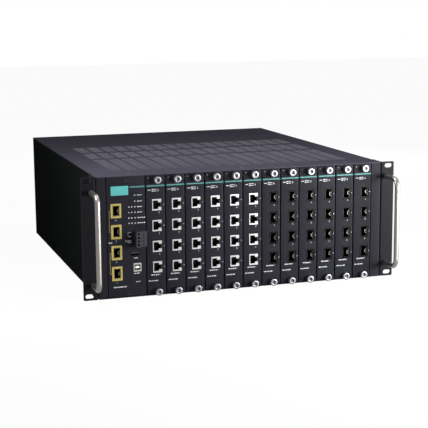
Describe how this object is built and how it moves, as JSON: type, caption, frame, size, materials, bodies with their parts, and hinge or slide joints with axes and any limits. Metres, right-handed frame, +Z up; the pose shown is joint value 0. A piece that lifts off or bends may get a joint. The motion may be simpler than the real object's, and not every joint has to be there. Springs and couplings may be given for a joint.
{
  "type": "modular chassis switch",
  "caption": "Four-unit rack chassis of a modular network switch with pull-out port modules, a main panel, carrying handles and slotted rack ears.",
  "frame": {"origin": "on the underside, below the middle of the overall box including handles and rear screw knobs", "axes": "+X to the right seen from the front, +Y from the front panels to the rear, +Z up"},
  "size_m": [0.4826, 0.5768, 0.1768],
  "materials": {
    "black_paint": "fine textured black powder coat",
    "polished_bar": "satin polished bar",
    "plated_steel": "zinc plated sheet steel",
    "nickel_screw": "bright nickel plated",
    "circuit_board": "green solder mask with plated metal ports",
    "black_plastic": "moulded black plastic",
    "light_guide": "frosted clear plastic"
  },
  "bodies": {
    "chassis": {"chassis_tray": "black_paint", "top_cover": "black_paint", "rear_panel": "black_paint", "card_cage": "plated_steel", "backplane": "circuit_board", "rack_ear_left": "black_paint", "rack_ear_right": "black_paint", "handle_left": "polished_bar", "handle_right": "polished_bar", "handle_screws": "nickel_screw", "main_panel": "black_paint", "main_board": "circuit_board", "front_board": "circuit_board", "uplink_cages": "plated_steel", "usb_ports": "plated_steel", "status_lights": "light_guide", "alarm_header": "black_plastic"},
    "module_01": {"module_01_faceplate": "black_paint", "module_01_port_board": "circuit_board", "module_01_thumbscrews": "nickel_screw"},
    "module_02": {"module_02_faceplate": "black_paint", "module_02_port_board": "circuit_board", "module_02_thumbscrews": "nickel_screw"},
    "module_03": {"module_03_faceplate": "black_paint", "module_03_port_board": "circuit_board", "module_03_thumbscrews": "nickel_screw"},
    "module_04": {"module_04_faceplate": "black_paint", "module_04_port_board": "circuit_board", "module_04_thumbscrews": "nickel_screw"},
    "module_05": {"module_05_faceplate": "black_paint", "module_05_port_board": "circuit_board", "module_05_thumbscrews": "nickel_screw"},
    "module_06": {"module_06_faceplate": "black_paint", "module_06_port_board": "circuit_board", "module_06_thumbscrews": "nickel_screw"},
    "module_07": {"module_07_faceplate": "black_paint", "module_07_port_board": "circuit_board", "module_07_thumbscrews": "nickel_screw"},
    "module_08": {"module_08_faceplate": "black_paint", "module_08_port_board": "circuit_board", "module_08_thumbscrews": "nickel_screw"},
    "module_09": {"module_09_faceplate": "black_paint", "module_09_port_board": "circuit_board", "module_09_thumbscrews": "nickel_screw"},
    "module_10": {"module_10_faceplate": "black_paint", "module_10_port_board": "circuit_board", "module_10_thumbscrews": "nickel_screw"},
    "module_11": {"module_11_faceplate": "black_paint", "module_11_port_board": "circuit_board", "module_11_thumbscrews": "nickel_screw"},
    "module_12": {"module_12_faceplate": "black_paint", "module_12_port_board": "circuit_board", "module_12_thumbscrews": "nickel_screw"},
    "power_supply_left": {"power_module_left": "plated_steel", "power_inlet_left": "black_plastic"},
    "power_supply_right": {"power_module_right": "plated_steel", "power_inlet_right": "black_plastic"},
    "alarm_terminal": {"alarm_plug": "black_plastic"},
    "reset_plunger": {"reset_button": "black_plastic"}
  },
  "joints": [
    {"name": "module_01_slide", "type": "slide", "parent": "chassis", "child": "module_01", "axis": [0, -1, 0], "range_m": [0, 0.25]},
    {"name": "module_02_slide", "type": "slide", "parent": "chassis", "child": "module_02", "axis": [0, -1, 0], "range_m": [0, 0.25]},
    {"name": "module_03_slide", "type": "slide", "parent": "chassis", "child": "module_03", "axis": [0, -1, 0], "range_m": [0, 0.25]},
    {"name": "module_04_slide", "type": "slide", "parent": "chassis", "child": "module_04", "axis": [0, -1, 0], "range_m": [0, 0.25]},
    {"name": "module_05_slide", "type": "slide", "parent": "chassis", "child": "module_05", "axis": [0, -1, 0], "range_m": [0, 0.25]},
    {"name": "module_06_slide", "type": "slide", "parent": "chassis", "child": "module_06", "axis": [0, -1, 0], "range_m": [0, 0.25]},
    {"name": "module_07_slide", "type": "slide", "parent": "chassis", "child": "module_07", "axis": [0, -1, 0], "range_m": [0, 0.25]},
    {"name": "module_08_slide", "type": "slide", "parent": "chassis", "child": "module_08", "axis": [0, -1, 0], "range_m": [0, 0.25]},
    {"name": "module_09_slide", "type": "slide", "parent": "chassis", "child": "module_09", "axis": [0, -1, 0], "range_m": [0, 0.25]},
    {"name": "module_10_slide", "type": "slide", "parent": "chassis", "child": "module_10", "axis": [0, -1, 0], "range_m": [0, 0.25]},
    {"name": "module_11_slide", "type": "slide", "parent": "chassis", "child": "module_11", "axis": [0, -1, 0], "range_m": [0, 0.25]},
    {"name": "module_12_slide", "type": "slide", "parent": "chassis", "child": "module_12", "axis": [0, -1, 0], "range_m": [0, 0.25]},
    {"name": "power_supply_left_slide", "type": "slide", "parent": "chassis", "child": "power_supply_left", "axis": [0, 1, 0], "range_m": [0, 0.215]},
    {"name": "power_supply_right_slide", "type": "slide", "parent": "chassis", "child": "power_supply_right", "axis": [0, 1, 0], "range_m": [0, 0.215]},
    {"name": "alarm_plug_pull", "type": "slide", "parent": "chassis", "child": "alarm_terminal", "axis": [0, -1, 0], "range_m": [0, 0.014]},
    {"name": "reset_button_press", "type": "slide", "parent": "chassis", "child": "reset_plunger", "axis": [0, 1, 0], "range_m": [0, 0.0006], "stiffness_N_per_m": 500}
  ]
}
